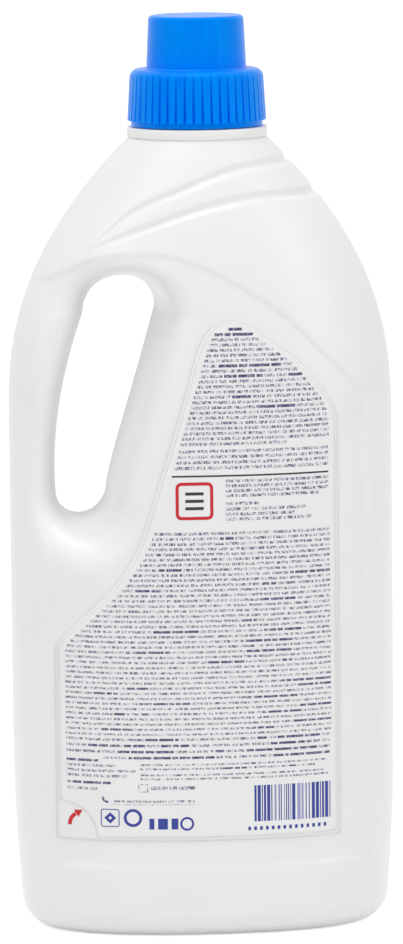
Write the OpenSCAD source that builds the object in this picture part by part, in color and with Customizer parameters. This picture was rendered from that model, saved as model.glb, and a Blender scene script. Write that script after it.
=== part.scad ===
// Laundry detergent bottle: a blown body with a through grip, a pouring spout pressed into its neck,
// a screw-on dosing cap and a two-ply back label.
// Frame: millimetres, +Z up, origin on the floor at the centre of the foot, grip towards -X, label on -Y.

/* [Body] */
// Width of the blown body
body_w = 126.4; // [110:0.2:146]
// Depth of the blown body, front to back
body_d = 80; // [66:0.5:92]
// Height from the floor to the underside of the neck ring
body_h = 261; // [230:0.2:310]
// Wall thickness of the blown body
wall = 1.7; // [1.5:0.1:2.2]
// Squareness of the horizontal section: 2 is an ellipse
section_power = 2.3; // [2:0.05:3]
// Height of the shoulder, from where the sides start to lean in up to the neck ring
shoulder_h = 88.8; // [70:0.2:104]
// How late the shoulder turns in: a higher value gives a fuller shoulder
shoulder_power = 2.25; // [1.8:0.05:2.8]
// Radius of the shoulder where it meets the neck ring
neck_root_r = 22.5; // [21.5:0.1:22.6]

/* [Foot] */
// Rounding between the sides and the underside
foot_r = 9; // [8:0.5:13]
// How much the foot is drawn in on each side
foot_taper = 3.4; // [1:0.1:6]
// Height over which the foot is drawn in
foot_h = 67; // [50:1:90]
// Rise of the underside at its middle
push_up = 4.5; // [3:0.1:6]

/* [Grip] */
// Height of the grip opening
hole_h = 80; // [66:0.1:90]
// Distance from the neck ring down to the top of the opening
hole_drop = 44.5; // [42:0.1:56]
// Radius of the opening's lower end
hole_low_r = 8.7; // [7:0.1:10]
// Radius of the opening's upper end
hole_high_r = 12.3; // [11:0.1:15]
// How much each side of the opening swells between its two ends
hole_belly = 0.8; // [0:0.1:1.2]
// Width of the grip beside the opening's lower end
grip_w = 14.6; // [12:0.1:18]
// How far the opening's upper end leans away from the grip
hole_lean = 13.3; // [10:0.1:16]
// Width of the sunk wall round the opening: body side
reach_body = 12.5; // [10:0.1:14]
// Width of the sunk wall round the opening: grip side
reach_grip = 26; // [22:0.1:30]
// Width of the sunk wall round the opening: below
reach_low = 19; // [16:0.1:22]
// Width of the sunk wall round the opening: above
reach_high = 8.2; // [7:0.1:11]

/* [Panel and waves] */
// Depth of the sunk label panel
panel_sink = 0.8; // [0.5:0.05:1]
// Width of the plain band beside the panel
panel_band = 9.2; // [7:0.1:12]
// Height of the panel's lower edge
panel_low = 25.5; // [21:0.5:32]
// Width of the step round the panel
panel_step = 2.6; // [2:0.1:3.4]
// Depth of the two wave grooves on the shoulder
wave_deep = 1.1; // [0.7:0.05:1.2]
// Half width of a wave groove
wave_w = 2.1; // [1.6:0.1:2.6]

/* [Neck] */
// Radius of the neck below its thread
neck_r = 19; // [18.6:0.1:19.2]
// Radius of the neck's bore
bore_r = 17.2; // [17:0.1:17.4]
// Height of the neck above its ring
neck_h = 16.5; // [14:0.1:20]
// Radius of the neck ring
ring_r = 23.1; // [23:0.1:24.5]
// Height of the neck ring
ring_h = 3.2; // [2.6:0.1:3.8]

/* [Cap] */
// Overall radius of the ribbed skirt at its lower end
cap_r = 22.8; // [22.4:0.1:23]
// Overall radius of the ribbed skirt at its upper end
cap_high_r = 22; // [21.6:0.1:22.3]
// Rounding at the top of the skirt
cap_round = 3; // [2:0.1:3.4]
// Radius of the dosing cup at its closed end
cup_high_r = 15.7; // [15.2:0.1:16]
// Radius of the dosing cup where it meets the skirt
cup_low_r = 16.4; // [16.1:0.1:16.8]
// Height of the dosing cup above the skirt
cup_h = 17.4; // [15:0.1:23]
// Wall thickness of the cap
cap_wall = 1.2; // [1:0.05:1.3]
// Number of grip ribs round the skirt
rib_count = 48; // [36:1:72]
// Height of the plain band under the ribs
plain_band = 1.8; // [1.4:0.1:2.4]

/* [Spout] */
// Wall thickness of the spout insert
spout_wall = 0.9; // [0.8:0.05:1]
// Radius of the pouring tube
tube_r = 10.5; // [9:0.1:11.5]
// Height of the pouring tube's lip above the neck
tube_h = 13.5; // [11:0.1:15]
// Depth of the drain gutter below the top of the neck
gutter_deep = 12; // [10:0.1:14]
// Width of the drain slot in the tube
slot_w = 5; // [4:0.1:7]

/* [Label] */
// Height of the top ply's lower edge
label_low = 34; // [30:0.1:40]
// Distance of the top ply from the body's middle plane, on the grip side
label_left = 50.2; // [46:0.1:50.2]
// Distance of the top ply from the body's middle plane, on the far side
label_right = 41.4; // [38:0.1:46]
// Radius of the peel corner that is cut from the top ply
peel_r = 11.8; // [10:0.1:15]
// How far the base ply stands out round the top ply
label_margin = 1.1; // [0.8:0.1:1.1]
// Thickness of each ply
ply = 0.2; // [0.1:0.02:0.26]

/* [Hidden] */

// Running gaps between pieces
gap = 0.3;
press_gap = 0.05;
ply_gap = 0.2;

// Heights that other sizes give
shoulder_z = body_h - shoulder_h;
ring_top = body_h + ring_h;
neck_top = ring_top + neck_h;
flange_h = 1;
seat_z = neck_top + flange_h + gap;
skirt_top = seat_z + cap_wall;
cap_low = ring_top + gap;
cap_top = skirt_top + cup_h;

// Centres of the two ends of the grip opening, as [x, z]
hole_low = [-body_w / 2 + grip_w + hole_low_r, body_h - hole_drop - hole_h + hole_low_r];
hole_high = [hole_low[0] + hole_lean, body_h - hole_drop - hole_high_r];

// Columns of the body's mesh on each side of the opening, and how they crowd towards it
left_columns = 10;
right_columns = 22;
crowd_share = 9 / 22;
crowd_below = 20;
crowd_above = 14;

// Exponents of the curve by which the wall rises from the opening's edge, steeply at first
pinch_power = 0.42;
pinch_fall = 3;

// Small helpers
function mix(a, b, t) = t == 1 ? b : a + (b - a) * t;
function clamp01(t) = min(1, max(0, t));
function ease(t) = let (c = clamp01(t)) c * c * (3 - 2 * c);
function unit(v) = v / norm(v);

// Smooth curve through points [q, z]
function tangent(pts, i) =
    let (a = pts[max(0, i - 1)], b = pts[min(len(pts) - 1, i + 1)])
    (b[1] - a[1]) / (b[0] - a[0]);
function span_of(pts, q, i = 0) =
    (i >= len(pts) - 2 || q < pts[i + 1][0]) ? i : span_of(pts, q, i + 1);
function curve(pts, q) =
    let (
        i = span_of(pts, q),
        w = pts[i + 1][0] - pts[i][0],
        t = (q - pts[i][0]) / w,
        s = 1 - t
    )
    pts[i][1] * (1 + 2 * t) * s * s + tangent(pts, i) * w * t * s * s
    + pts[i + 1][1] * t * t * (3 - 2 * t) - tangent(pts, i + 1) * w * t * t * s;

// Plain section of the body at height z, and at depth o inside its outer face
function lean(z) = clamp01((z - shoulder_z) / shoulder_h);
function foot_in(z, o) =
    let (r = foot_r - o, h = z - o)
    h >= r ? 0 : r - sqrt(max(0, r * r - (r - h) * (r - h)));
function half(size, z, o) =
    mix(size / 2, neck_root_r, pow(lean(z), shoulder_power))
    - foot_taper * pow(clamp01(1 - z / foot_h), 2.2) - foot_in(z, o) - o;
function half_w(z, o = 0) = half(body_w, z, o);
function half_d(z, o = 0) = half(body_d, z, o);
function power(z) = mix(section_power, 2, lean(z));
function plain_y(x, z, o = 0) =
    let (n = power(z))
    half_d(z, o) * pow(max(0, 1 - pow(min(1, abs(x) / half_w(z, o)), n)), 1 / n);

// Outward direction of the plain body at a point of its label side
function fullness(x, y, z) =
    let (n = power(z))
    pow(abs(x) / half_w(z), n) + pow(abs(y) / half_d(z), n);
function outward(x, y, z) =
    let (n = power(z), e = 0.2)
    unit([
        sign(x) * n * pow(abs(x), n - 1) / pow(half_w(z), n),
        sign(y) * n * pow(abs(y), n - 1) / pow(half_d(z), n),
        (fullness(x, y, min(body_h, z + e)) - fullness(x, y, z - e)) / (min(body_h, z + e) - z + e)
    ]);

// The grip opening: its middle line, half width, ends and the sunk wall round it
function hole_s(z) = clamp01((z - hole_low[1]) / (hole_high[1] - hole_low[1]));
function hole_mid(z) = mix(hole_low[0], hole_high[0], pow(hole_s(z), 1.4));
function half_chord(r, d) = let (square = r * r - d * d) square > 1e-6 ? sqrt(square) : 0;
function hole_half(z, o = 0) =
    z < hole_low[1] ? half_chord(hole_low_r + o, hole_low[1] - z)
    : z > hole_high[1] ? half_chord(hole_high_r + o, z - hole_high[1])
    : mix(hole_low_r, hole_high_r, sin(90 * hole_s(z))) + hole_belly * sin(180 * hole_s(z)) + o;
function hole_floor(o = 0) = hole_low[1] - hole_low_r - o;
function hole_roof(o = 0) = hole_high[1] + hole_high_r + o;
function hole_far(x, z) =
    z < hole_low[1] ? norm([x - hole_low[0], z - hole_low[1]]) - hole_low_r
    : z > hole_high[1] ? norm([x - hole_high[0], z - hole_high[1]]) - hole_high_r
    : abs(x - hole_mid(z)) - hole_half(z);
function hole_reach(x, z) =
    let (
        side = x < hole_mid(z) ? reach_grip : reach_body,
        low = max(0, hole_low[1] - z) / max(0.001, norm([x - hole_low[0], z - hole_low[1]])),
        high = max(0, z - hole_high[1]) / max(0.001, norm([x - hole_high[0], z - hole_high[1]]))
    )
    mix(mix(side, reach_low, low * low), reach_high, high * high);
function pinch(x, z, o = 0) =
    let (u = clamp01((hole_far(x, z) - o) / hole_reach(x, z)))
    pow(1 - pow(1 - u, pinch_fall), pinch_power);
function skin_y(x, z, o = 0) = plain_y(x, z, o) * pinch(x, z, o);

// Feature lines of the body: each runs from the grip side (q = -1) to the far side (q = 1), where q is
// the share of the half width at that height, and z is measured down from the neck ring
ridge_line = [
    [-1, -47.8], [-0.854, -42.3], [-0.66, -37.4], [-0.345, -36.5], [-0.176, -37.8],
    [-0.015, -40.9], [0.133, -45], [0.414, -55.9], [0.667, -72.6], [0.786, -80.7], [1, -92]
];
low_wave = [[-1, -43.6], [-0.686, -33.4], [-0.381, -26.9], [0.005, -21.4], [0.437, -18.4], [1, -18.1]];
high_wave = [[-1, -40.6], [-0.8, -36.2], [-0.584, -23.6], [-0.22, -15.9], [0.278, -9.8], [1, -7.4]];
ridge_half = 1.3;
function ridge(q) = body_h + curve(ridge_line, q);
function wave2(q) = body_h + curve(low_wave, q);
function wave1(q) = body_h + curve(high_wave, q);
function wave_half(q) = min(wave_w, 0.35 * (wave1(q) - wave2(q)));

// Where the mesh's columns part to go round the opening, as a share of the half width
split_low = hole_low[0] / half_w(hole_floor());
split_high = hole_high[0] / half_w(hole_roof());
function split_q(z) = mix(split_low, split_high, clamp01((z - hole_floor()) / (hole_roof() - hole_floor())));

// Share of the half width for a column at share s of its side (left of the split, or right of it)
function plain_q(s, left, split) =
    let (a = acos(-split))
    left ? -cos(a * s) : -cos(a + (180 - a) * s);
function near_hole(z, o) =
    z < hole_floor(o) ? ease(1 - (hole_floor(o) - z) / crowd_below)
    : z > hole_roof(o) ? ease(1 - (z - hole_roof(o)) / crowd_above)
    : 1;
function column_x(s, left, z, o = 0) =
    let (
        w = half_w(z, o),
        plain = w * plain_q(s, left, split_q(z)),
        end = w * plain_q(crowd_share, false, split_q(z)),
        crowded = left ? mix(-w, hole_mid(z) - hole_half(z, o), (1 - cos(180 * s)) / 2)
            : s >= crowd_share ? plain
            : mix(hole_mid(z) + hole_half(z, o), end, pow(s / crowd_share, 1.5))
    )
    mix(plain, crowded, near_hole(z, o));

// Key heights of the rows. Keys up to the opening's roof use the column's even share q,
// and those above it use the true share t
key_foot = 0;
key_panel_edge = 1;
key_panel = 2;
key_hole_floor = 3;
key_hole_roof = 4;
key_ridge_low = 5;
key_ridge_high = 6;
key_wave2 = 8;
key_wave1 = 11;
key_top = 13;
function key_z(k, q, t) =
    k <= key_foot ? 0
    : k == key_panel_edge ? panel_low - panel_step
    : k == key_panel ? panel_low
    : k == key_hole_floor ? hole_floor()
    : k == key_hole_roof ? hole_roof() + ridge(q) - ridge(split_high)
    : k == key_ridge_low ? ridge(t) - ridge_half
    : k == key_ridge_high ? ridge(t) + ridge_half
    : k == key_wave2 - 1 ? wave2(t) - wave_half(t)
    : k == key_wave2 ? wave2(t)
    : k == key_wave2 + 1 ? wave2(t) + wave_half(t)
    : k == key_wave1 - 1 ? wave1(t) - wave_half(t)
    : k == key_wave1 ? wave1(t)
    : k == key_wave1 + 1 ? wave1(t) + wave_half(t)
    : body_h;

// Rows of the outer face, each as key plus share of the way to the next key
foot_steps = 5;
foot_shares = [for (i = [0:foot_steps]) foot_r * (1 - cos(90 * i / foot_steps)) / (panel_low - panel_step)];
function eased(n, bias) = [for (i = [1:n]) mix(i / n, (1 - cos(180 * i / n)) / 2, bias)];
function rising(n, p) = [for (i = [1:n]) 1 - pow(1 - i / n, p)];
function rows_from(key, shares) = [for (f = shares) key + f];
// Rows beside the opening: by angle round its two ends, and even between them
low_steps = 4;
high_steps = 5;
side_steps = 6;
hole_shares = concat(
    [for (i = [1:low_steps]) hole_low_r * (1 - cos(90 * i / low_steps)) / hole_h],
    [for (i = [1:side_steps - 1]) mix(hole_low_r, hole_h - hole_high_r, i / side_steps) / hole_h],
    [for (i = [high_steps:-1:0]) 1 - hole_high_r * (1 - cos(90 * i / high_steps)) / hole_h]);
outer_rows = concat(
    rows_from(key_foot, foot_shares), [(key_foot + foot_shares[foot_steps] + key_panel_edge) / 2, key_panel_edge, key_panel],
    rows_from(key_panel, rising(12, 1.9)),
    rows_from(key_hole_floor, hole_shares),
    rows_from(key_hole_roof, eased(3, 0)),
    [key_ridge_high],
    rows_from(key_ridge_high, eased(5, 0)),
    [key_wave2, key_wave2 + 1],
    rows_from(key_wave2 + 1, eased(2, 0)),
    [key_wave1, key_wave1 + 1],
    rows_from(key_wave1 + 1, eased(4, 0))
);
function row_z(row, q, t) =
    let (k = min(key_top - 1, floor(row)))
    mix(key_z(k, q, t), key_z(k + 1, q, t), row - k);
function settled_z(row, s, left, z, turns) =
    turns == 0 ? z
    : settled_z(row, s, left,
        row_z(row, plain_q(s, left, split_high), column_x(s, left, z) / half_w(z)), turns - 1);

// How far a point of the outer face is sunk by the label panel and the wave grooves
function panel_share(x) = 1 - ease((abs(x) - body_w / 2 + panel_band + panel_step) / panel_step);
function sunk(row, x, t) =
    (row >= key_panel && row <= key_ridge_low ? panel_sink * panel_share(x) : 0)
    + (row == key_wave2 || row == key_wave1 ? wave_deep * ease((t + 0.85) / 0.4) : 0);

// One point of the outer face, on the label side
function outer_point(row, s, left) =
    let (
        q = plain_q(s, left, split_high),
        z = settled_z(row, s, left, row_z(row, q, q), row > key_hole_roof ? 6 : 0),
        x = column_x(s, left, z),
        t = x / half_w(z),
        edge = s == (left ? 0 : 1),
        split = s == (left ? 1 : 0) && row >= key_hole_floor && row <= key_hole_roof,
        y = edge || split ? 0 : -skin_y(x, z),
        deep = sunk(row, x, t)
    )
    deep == 0 || split ? [x, y, z] : [x, y, z] - deep * outward(x, edge ? 0 : -plain_y(x, z), z);

// Rows of the cavity are level
inner_foot = [for (i = [0:3]) wall + (foot_r - wall) * (1 - cos(30 * i))];
inner_floor_z = hole_floor(wall);
inner_roof_z = hole_roof(wall);
inner_rows = concat(
    inner_foot,
    [for (f = rising(7, 1.7)) mix(foot_r, inner_floor_z, f)],
    [for (f = eased(10, 0.6)) mix(inner_floor_z, inner_roof_z, f)],
    [for (f = eased(8, 0)) mix(inner_roof_z, body_h, f)]
);
function inner_point(z, s, left) =
    let (
        x = column_x(s, left, z, wall),
        shut = s == (left ? 0 : 1)
            || (s == (left ? 1 : 0) && z >= inner_floor_z - 0.001 && z <= inner_roof_z + 0.001)
    )
    [x, shut ? 0 : -skin_y(x, z, wall), z];

// A row's points go round: label side from grip to far side, then back along the other side.
// Both sides hold the split twice, once for the left columns and once for the right ones
function shares(n) = [for (i = [0:n]) i / n];
function around(front) =
    let (n = len(front))
    concat(front, [for (i = [n - 2:-1:1]) [front[i][0], -front[i][1], front[i][2]]]);
function outer_ring(row) = around(concat(
    [for (s = shares(left_columns)) outer_point(row, s, true)],
    [for (s = shares(right_columns)) outer_point(row, s, false)]));
function inner_ring(z) = around(concat(
    [for (s = shares(left_columns / 2)) inner_point(z, s, true)],
    [for (s = shares(right_columns / 2)) inner_point(z, s, false)]));
function scaled_ring(ring, s, z) = [for (p = ring) [p[0] * s, p[1] * s, z]];

// The underside: a flat standing band, then the push-up
foot_rings = [[0.93, 0], [0.8, 0.55], [0.5, 0.9]];

// Triangles between two rings of n points, leaving out the slits at the splits
function is_slit(i, n, left) = i == left || i == n - left - 1;
function band(a, b, n, left, flip) = [
    for (i = [0:n - 1]) if (!is_slit(i, n, left))
        let (j = (i + 1) % n)
        each flip ? [[a + i, b + i, b + j], [a + i, b + j, a + j]] : [[a + i, b + j, b + i], [a + i, a + j, b + j]]
];
function fan(a, n, centre, left, flip) = [
    for (i = [0:n - 1]) if (!is_slit(i, n, left))
        let (j = (i + 1) % n)
        flip ? [centre, a + j, a + i] : [centre, a + i, a + j]
];

// The flat rim where the outer face has two columns for each one of the cavity
function rim_column(i, n_left) = i <= n_left ? i : i + 1;
function rim_back(i, side, n_left, n) = let (c = rim_column(i, n_left)) side == 0 ? c : (n - c) % n;
function rim(a, b, n_out, n_in, side) = [
    for (k = [0:(left_columns + right_columns) / 2 - 1])
        let (
            o0 = a + rim_back(2 * k, side, left_columns, n_out),
            o1 = a + rim_back(2 * k + 1, side, left_columns, n_out),
            o2 = a + rim_back(2 * k + 2, side, left_columns, n_out),
            i0 = b + rim_back(k, side, left_columns / 2, n_in),
            i1 = b + rim_back(k + 1, side, left_columns / 2, n_in)
        )
        each side == 0 ? [[o0, i0, o1], [o1, i0, i1], [o1, i1, o2]] : [[o0, o1, i0], [o1, i1, i0], [o1, o2, i1]]
];

module blown_body() {
    outer = [for (row = outer_rows) outer_ring(row)];
    inner = [for (z = inner_rows) inner_ring(z)];
    n_out = len(outer[0]);
    n_in = len(inner[0]);
    outer_foot = [for (f = foot_rings) scaled_ring(outer[0], f[0], push_up * f[1])];
    cavity_foot = [for (f = foot_rings) scaled_ring(inner[0], f[0], push_up * f[1] + wall)];
    out_all = concat([for (i = [len(foot_rings) - 1:-1:0]) outer_foot[i]], outer);
    in_all = concat([for (i = [len(foot_rings) - 1:-1:0]) cavity_foot[i]], inner);
    in_start = len(out_all) * n_out;
    centres = in_start + len(in_all) * n_in;
    points = concat(
        [for (ring = out_all) each ring], [for (ring = in_all) each ring],
        [[0, 0, push_up], [0, 0, push_up + wall]]);
    faces = concat(
        [for (i = [0:len(out_all) - 2]) each band(i * n_out, (i + 1) * n_out, n_out, left_columns, true)],
        [for (i = [0:len(in_all) - 2])
            each band(in_start + i * n_in, in_start + (i + 1) * n_in, n_in, left_columns / 2, false)],
        fan(0, n_out, centres, left_columns, false),
        fan(in_start, n_in, centres + 1, left_columns / 2, true),
        rim(in_start - n_out, centres - n_in, n_out, n_in, 0),
        rim(in_start - n_out, centres - n_in, n_out, n_in, 1));
    polyhedron(points = points, faces = faces, convexity = 10);
}

// The moulded neck, rooted in the shoulder's wall: ring, plain neck and bore
neck_root_h = 1.5;
ring_seat = 0.2;
ring_round = 0.4;
rim_bevel = 0.6;
module neck() {
    rotate_extrude($fn = 96)
        polygon([
            [bore_r, body_h - neck_root_h], [neck_root_r - wall / 2, body_h - neck_root_h],
            [neck_root_r - wall / 2, body_h - ring_seat], [ring_r - ring_round, body_h - ring_seat],
            [ring_r, body_h - ring_seat + ring_round],
            [ring_r, ring_top - ring_round], [ring_r - ring_round, ring_top], [neck_r, ring_top],
            [neck_r, neck_top - rim_bevel], [neck_r - rim_bevel, neck_top], [bore_r, neck_top]
        ]);
}

module bottle() {
    color("whitesmoke") {
        blown_body();
        neck();
    }
}

// Arc of points in the profile plane
function arc(centre, r, from, to, n) =
    [for (i = [0:n]) centre + r * [cos(mix(from, to, i / n)), sin(mix(from, to, i / n))]];

// The drain-back spout: a flange on the neck, a plug in its bore, a sloped gutter and a slotted tube
plug_r = bore_r - press_gap;
gutter_z = neck_top - gutter_deep;
gutter_fall = 5;
gutter_wall = 1;
lip_angle = 28;
module spout_collar() {
    rotate_extrude($fn = 96)
        polygon([
            [plug_r - spout_wall, gutter_z - 3], [plug_r, gutter_z - 3], [plug_r, neck_top],
            [neck_r - rim_bevel, neck_top], [neck_r - rim_bevel, neck_top + flange_h],
            [plug_r - spout_wall, neck_top + flange_h]
        ]);
}
module spout_gutter() {
    inner_r = plug_r - spout_wall / 2;
    intersection() {
        translate([0, 0, gutter_z - 3])
            cylinder(r = inner_r, h = gutter_deep, $fn = 96);
        translate([0, 0, gutter_z])
            rotate([0, gutter_fall, 0])
                translate([-2 * bore_r, -2 * bore_r, -gutter_wall])
                    cube([4 * bore_r, 4 * bore_r, gutter_wall]);
    }
}
module spout_tube() {
    lip_z = neck_top + tube_h;
    difference() {
        translate([0, 0, gutter_z - 1.5])
            cylinder(r = tube_r, h = lip_z - gutter_z + 1.5, $fn = 96);
        // Slanted mouth, high on the pouring side
        translate([tube_r, 0, lip_z])
            rotate([0, -lip_angle, 0])
                translate([-6 * tube_r, -2 * tube_r, 0])
                    cube([8 * tube_r, 4 * tube_r, 4 * tube_r]);
        // Drain slot on the grip side
        translate([-2 * tube_r, -slot_w / 2, gutter_z + 0.6])
            cube([2 * tube_r, slot_w, 4 * tube_r]);
    }
}
module pouring_spout() {
    color("white")
        difference() {
            union() {
                spout_collar();
                spout_gutter();
                spout_tube();
            }
            translate([0, 0, gutter_z - 5])
                cylinder(r = tube_r - spout_wall, h = 60, $fn = 96);
        }
}

// The dosing cap: a ribbed skirt that screws on the neck, and a cup that hangs inside it
cup_round = 1.4;
skirt_in_r = neck_r + cap_wall + 0.1;
band_r = cap_high_r - 0.4;
rib_root_r = cap_high_r - 0.4;
rib_low = cap_low + plain_band;
cup_hang = 11;
cup_in_low_r = cup_low_r - cap_wall - 0.4;
module cap_outline() {
    polygon(concat(
        [[0, cap_top]],
        arc([cup_high_r - cup_round, cap_top - cup_round], cup_round, 90, 0, 5),
        [[cup_low_r, skirt_top + 0.5], [cup_low_r + 0.5, skirt_top]],
        arc([cap_high_r - cap_round, skirt_top - cap_round], cap_round, 90, 0, 6),
        [[cap_r, rib_low], [0, rib_low]]));
}
module rib_outline() {
    tooth = 360 / rib_count;
    polygon([
        for (i = [0:rib_count - 1])
            for (p = [[0.06, rib_root_r], [0.26, cap_r + 1], [0.74, cap_r + 1], [0.94, rib_root_r]])
                p[1] * [cos((i + p[0]) * tooth), sin((i + p[0]) * tooth)]
    ]);
}
module cap_outside() {
    intersection() {
        rotate_extrude($fn = 96)
            cap_outline();
        translate([0, 0, rib_low])
            linear_extrude(height = cap_top - rib_low + 1)
                rib_outline();
    }
    translate([0, 0, cap_low])
        cylinder(r = band_r, h = plain_band, $fn = 96);
}
module cap_inside() {
    // Room for the neck and its thread
    rotate_extrude($fn = 96)
        polygon([
            [cup_in_low_r + cap_wall, cap_low - 1], [skirt_in_r, cap_low - 1], [skirt_in_r, seat_z],
            [cup_in_low_r + cap_wall, seat_z]
        ]);
    // Inside of the dosing cup
    rotate_extrude($fn = 96)
        polygon([
            [0, cap_low - 1], [cup_in_low_r, cap_low - 1], [cup_in_low_r, seat_z - cup_hang],
            [cup_high_r - cap_wall - 0.2, cap_top - cap_wall - 1], [cup_high_r - cap_wall - 1.2, cap_top - cap_wall],
            [0, cap_top - cap_wall]
        ]);
    // The cup's wall stops above the gutter
    translate([0, 0, cap_low - 1])
        cylinder(r = skirt_in_r, h = seat_z - cup_hang - cap_low + 1, $fn = 96);
}
module cap() {
    color("dodgerblue")
        difference() {
            cap_outside();
            cap_inside();
        }
}

// Outline of the top ply, as the distance of each side from the middle plane at height z.
// The grip side follows the sunk wall of the opening, and the far side follows the ridge
label_top = hole_roof() - 14.2;
left_side = [
    [0, -51], [60.9, -50.4], [69.1, -44], [77.5, -35.6], [81.8, -31.5], [90.4, -25.6], [97.3, -22.1],
    [105.6, -19.6], [124.2, -13.5], [149.4, -6], [158, -3.4], [163.6, -0.9], [166.9, 2.2], [168.3, 6.2]
];
right_side = [[0, 41.4], [131, 41.4], [139, 40.6], [145.2, 37], [154.9, 28.5], [162.6, 18.2],
    [166.6, 12.8], [168.3, 8.2]];
label_run = 168.3;

// Share of the drawn outline at height z, which follows the opening and not the floor
function label_s(z) = z - label_top + label_run;
function left_x(z) =
    let (
        h = z - label_low,
        base = max(-label_left, curve(left_side, label_s(z)) + hole_low[0] + 39.9)
    )
    h < peel_r ? base + sqrt(max(0, peel_r * peel_r - h * h)) : base;
function right_x(z) = min(label_right, curve(right_side, label_s(z)) + label_right - 41.4);
function base_left_x(z) = let (h = min(label_top - 0.2, max(z, label_low + peel_r))) left_x(h);
function base_rise(z) = z < label_low + 0.01 ? -label_margin : label_margin * ease((z - label_top + 10) / 10);

// A ply that lies on the sunk panel, lift above it
ply_columns = 13;
function ply_point(x, z, lift) =
    let (y = -plain_y(x, z))
    [x, y, z] + (lift - panel_sink) * outward(x, y, z);
module ply_sheet(rows, lift) {
    n = ply_columns + 1;
    count = n * len(rows);
    points = [
        for (h = [lift, lift + ply]) for (r = rows) for (i = [0:ply_columns])
            ply_point(mix(r[1], r[2], i / ply_columns), r[0], h)
    ];
    last = len(rows) - 1;
    skin = [
        for (r = [0:last - 1]) for (i = [0:ply_columns - 1])
            let (a = r * n + i, b = a + n)
            each [[a, a + 1, b + 1], [a, b + 1, b], [count + a, count + b + 1, count + a + 1],
                [count + a, count + b, count + b + 1]]
    ];
    sides = [
        for (r = [0:last - 1])
            let (a = r * n, b = a + n, c = a + ply_columns, d = b + ply_columns)
            each [[a, b, count + b], [a, count + b, count + a], [c, count + d, d], [c, count + c, count + d]]
    ];
    ends = [
        for (i = [0:ply_columns - 1])
            let (a = i, b = last * n + i)
            each [[a, count + a + 1, a + 1], [a, count + a, count + a + 1],
                [b, b + 1, count + b + 1], [b, count + b + 1, count + b]]
    ];
    polyhedron(points = points, faces = concat(skin, sides, ends), convexity = 4);
}
bend_low = label_top - label_run + 60.9;
bend_high = label_top - label_run + 84;
label_heights = concat(
    [for (i = [0:4]) label_low + peel_r * sin(22.5 * i)],
    [for (i = [1:3]) mix(label_low + peel_r, bend_low, i / 3)],
    [for (i = [1:5]) mix(bend_low, bend_high, i / 5)],
    [for (i = [1:9]) mix(bend_high, label_top, 1 - pow(1 - i / 9, 1.5))]);
module label_top_ply() {
    color("snow")
        ply_sheet([for (z = label_heights) [z, left_x(z), right_x(z)]], 2 * ply_gap + ply);
}
module label_base() {
    color("white")
        ply_sheet([
            for (z = label_heights)
                [z + base_rise(z), base_left_x(z) - label_margin, right_x(z) + label_margin]
        ], ply_gap);
}

bottle();
pouring_spout();
cap();
label_base();
label_top_ply();
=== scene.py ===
# %% [markdown]
# # A laundry detergent bottle with a grip through it
# The real bottle is blown in one piece from white polyethylene. A blue dosing cap screws on its neck,
# a white pouring spout is pressed into that neck, and a film label of two plies covers the back.
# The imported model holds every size, place and joint. This lesson dresses it, piece by piece, so each
# new skin is drawn from the same sizes as the model and lies where the model says.

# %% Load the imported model
import math
import bmesh
import bpy
from mathutils import Matrix


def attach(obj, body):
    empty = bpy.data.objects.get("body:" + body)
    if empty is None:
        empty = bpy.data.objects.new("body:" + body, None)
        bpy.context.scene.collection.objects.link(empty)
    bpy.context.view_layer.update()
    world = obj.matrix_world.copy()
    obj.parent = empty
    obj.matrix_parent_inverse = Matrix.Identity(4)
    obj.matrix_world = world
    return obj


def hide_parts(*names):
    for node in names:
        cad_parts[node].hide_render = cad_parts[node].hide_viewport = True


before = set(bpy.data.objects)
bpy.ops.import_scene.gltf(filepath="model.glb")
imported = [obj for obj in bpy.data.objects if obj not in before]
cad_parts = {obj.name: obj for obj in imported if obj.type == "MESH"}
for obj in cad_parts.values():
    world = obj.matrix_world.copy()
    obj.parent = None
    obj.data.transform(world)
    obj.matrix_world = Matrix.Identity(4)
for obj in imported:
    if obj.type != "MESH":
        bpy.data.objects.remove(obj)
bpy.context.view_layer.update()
print("nodes:", ", ".join(sorted(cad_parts)))

# %% [markdown]
# ## Helpers for finishes
# A hex colour is written for the screen, while a shader works with linear light, so one function
# turns one into the other. Nodes are added one at a time, each with its settings and links, which
# keeps a material readable from top to bottom.

# %% Colour and node helpers
scene = bpy.context.scene


def linear(hex_colour):
    parts = [int(hex_colour[i:i + 2], 16) / 255 for i in (1, 3, 5)]
    return [c / 12.92 if c <= 0.04045 else ((c + 0.055) / 1.055) ** 2.4 for c in parts] + [1.0]


def add_node(tree, kind, settings, inputs):
    node = tree.nodes.new(kind)
    for name, value in settings.items():
        setattr(node, name, value)
    for name, value in inputs.items():
        if isinstance(value, bpy.types.NodeSocket):
            tree.links.new(value, node.inputs[name])
        else:
            node.inputs[name].default_value = value
    return node


def new_finish(name, settings):
    material = bpy.data.materials.new(name)
    material.use_nodes = True
    shader = material.node_tree.nodes["Principled BSDF"]
    for socket, value in settings.items():
        shader.inputs[socket].default_value = value
    return material, material.node_tree, shader


def object_place(tree):
    return add_node(tree, "ShaderNodeTexCoord", {}, {}).outputs["Object"]


print("white on the screen is", [round(c, 3) for c in linear("#f4f5f6")[:3]], "in linear light")

# %% [markdown]
# ## The bottle's plastic
# Blow moulding presses a soft tube of HDPE against a sand-blasted steel mould. What the eye gets
# from that is a satin white with a soft highlight, a slight glow from light that enters the wall, a
# fine grain of about half a millimetre, and slow waves where the wall shrank as it cooled. The two
# mould halves leave a thin raised line all round, in the plane where they met.

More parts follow.
